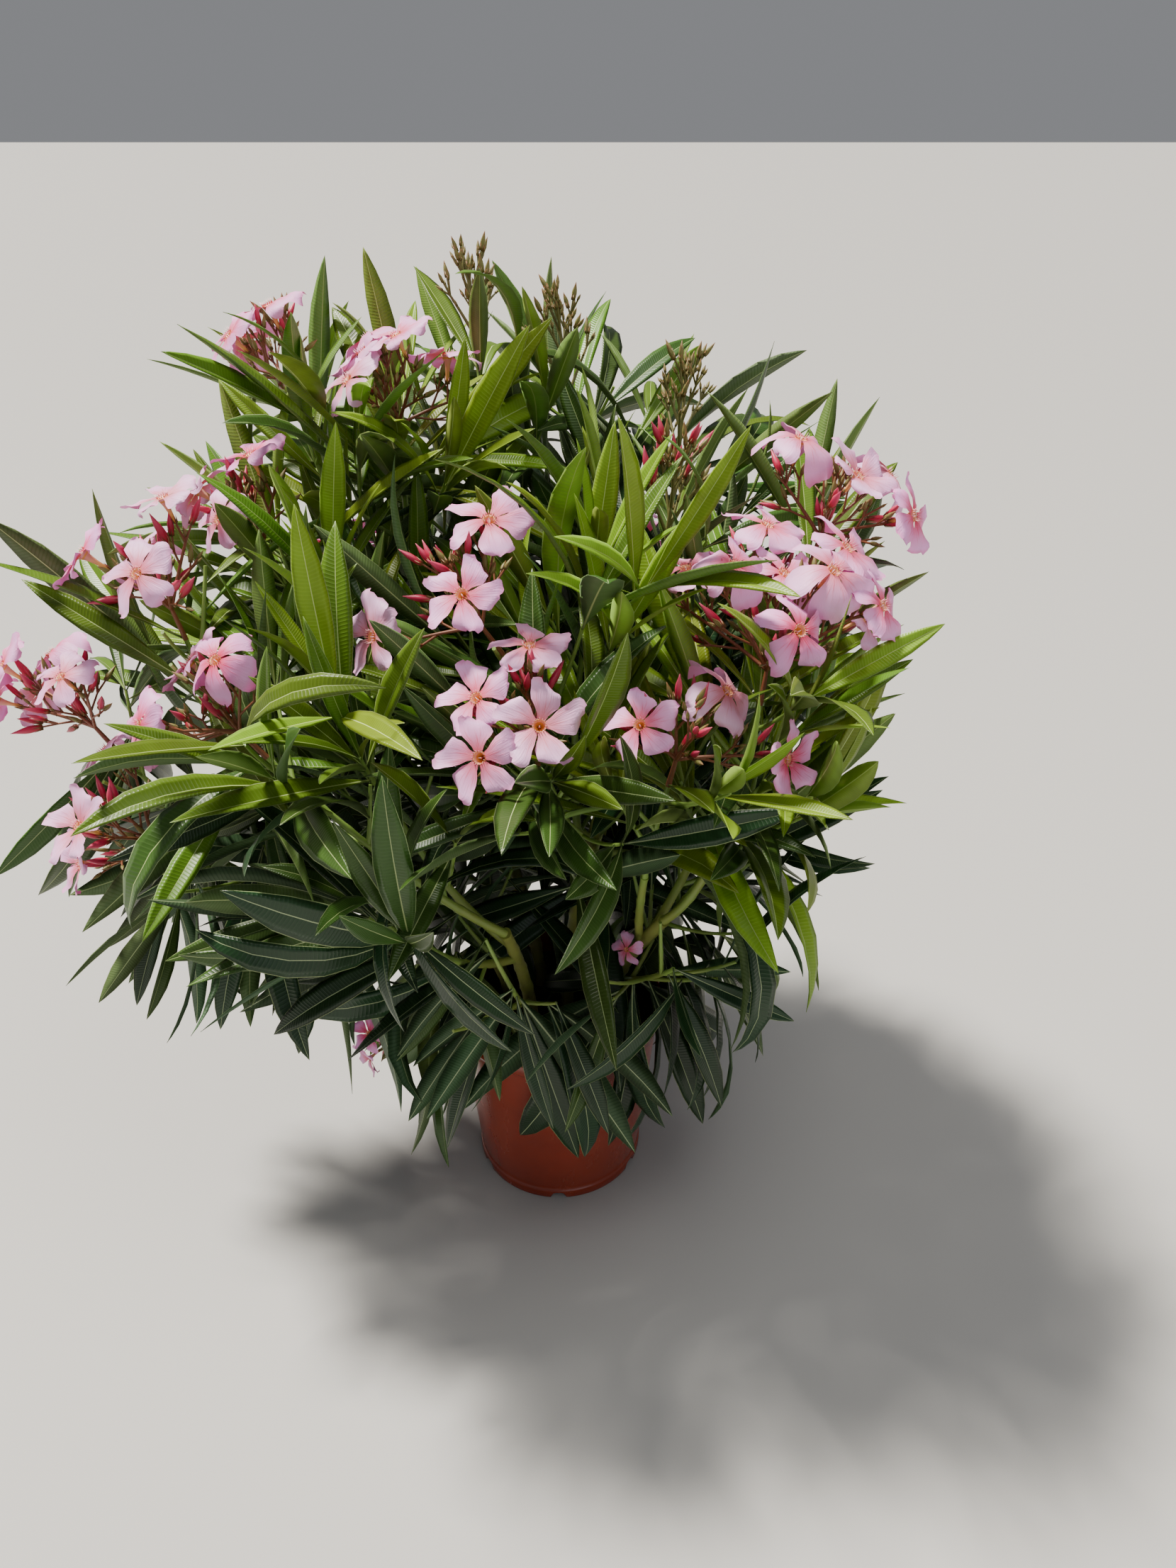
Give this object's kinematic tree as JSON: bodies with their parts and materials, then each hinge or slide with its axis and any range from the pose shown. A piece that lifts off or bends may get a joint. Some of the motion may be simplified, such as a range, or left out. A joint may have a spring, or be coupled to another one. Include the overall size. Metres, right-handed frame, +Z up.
{
  "type": "potted oleander",
  "caption": "Bushy oleander with several upright stems, whorls of lance-shaped leaves and clusters of pale pink blossom, in a round tapering plastic nursery pot.",
  "frame": {"origin": "centre of the pot's flat underside, on the surface that the pot stands on", "axes": "+Z up along the pot's axis, +X to the right and +Y away from the viewer in the picture's view"},
  "size_m": [0.7299, 0.6589, 0.7903],
  "materials": {
    "pot": "terracotta-coloured moulded plastic, glossy",
    "compost": "dark crumbly potting compost, matt",
    "stem_bark": "smooth olive-green to brown bark with leaf scars",
    "young_bark": "smooth green young bark",
    "foliage": "leathery green leaves with a soft gloss, and pale pink petals"
  },
  "bodies": {
    "root": {"pot": "pot", "soil": "compost", "left_stem": "stem_bark", "front_stem": "stem_bark", "centre_stem": "stem_bark", "right_stem": "stem_bark", "back_left_stem": "stem_bark", "back_right_stem": "stem_bark", "left_flowers_bough": "young_bark", "far_left_flowers_bough": "young_bark", "left_hanging_flowers_bough": "young_bark", "left_low_flowers_bough": "young_bark", "left_inner_leaves_bough": "young_bark", "front_left_leaves_bough": "young_bark", "centre_flowers_bough": "young_bark", "front_flowers_bough": "young_bark", "centre_leaves_bough": "young_bark", "red_buds_bough": "young_bark", "right_flowers_bough": "young_bark", "right_top_flowers_bough": "young_bark", "right_low_flowers_bough": "young_bark", "right_side_leaves_bough": "young_bark", "mid_left_flowers_bough": "young_bark", "back_left_flowers_bough": "young_bark", "left_back_flowers_bough": "young_bark", "back_left_low_flowers_bough": "young_bark", "back_buds_bough": "young_bark", "tall_buds_bough": "young_bark", "back_right_buds_bough": "young_bark", "back_right_flowers_bough": "young_bark", "back_low_flowers_bough": "young_bark", "left_flowers": "foliage", "far_left_flowers": "foliage", "left_hanging_flowers": "foliage", "left_low_flowers": "foliage", "left_inner_leaves": "foliage", "front_left_leaves": "foliage", "centre_flowers": "foliage", "front_flowers": "foliage", "centre_leaves": "foliage", "red_buds": "foliage", "right_flowers": "foliage", "right_top_flowers": "foliage", "right_low_flowers": "foliage", "right_side_leaves": "foliage", "mid_left_flowers": "foliage", "back_left_flowers": "foliage", "left_back_flowers": "foliage", "back_left_low_flowers": "foliage", "back_buds": "foliage", "tall_buds": "foliage", "back_right_buds": "foliage", "back_right_flowers": "foliage", "back_low_flowers": "foliage", "low_left_shoot": "foliage", "low_front_leaves": "foliage", "low_right_leaves": "foliage", "low_side_leaves": "foliage", "low_back_leaves": "foliage", "low_back_left_leaves": "foliage"}
  },
  "joints": []
}
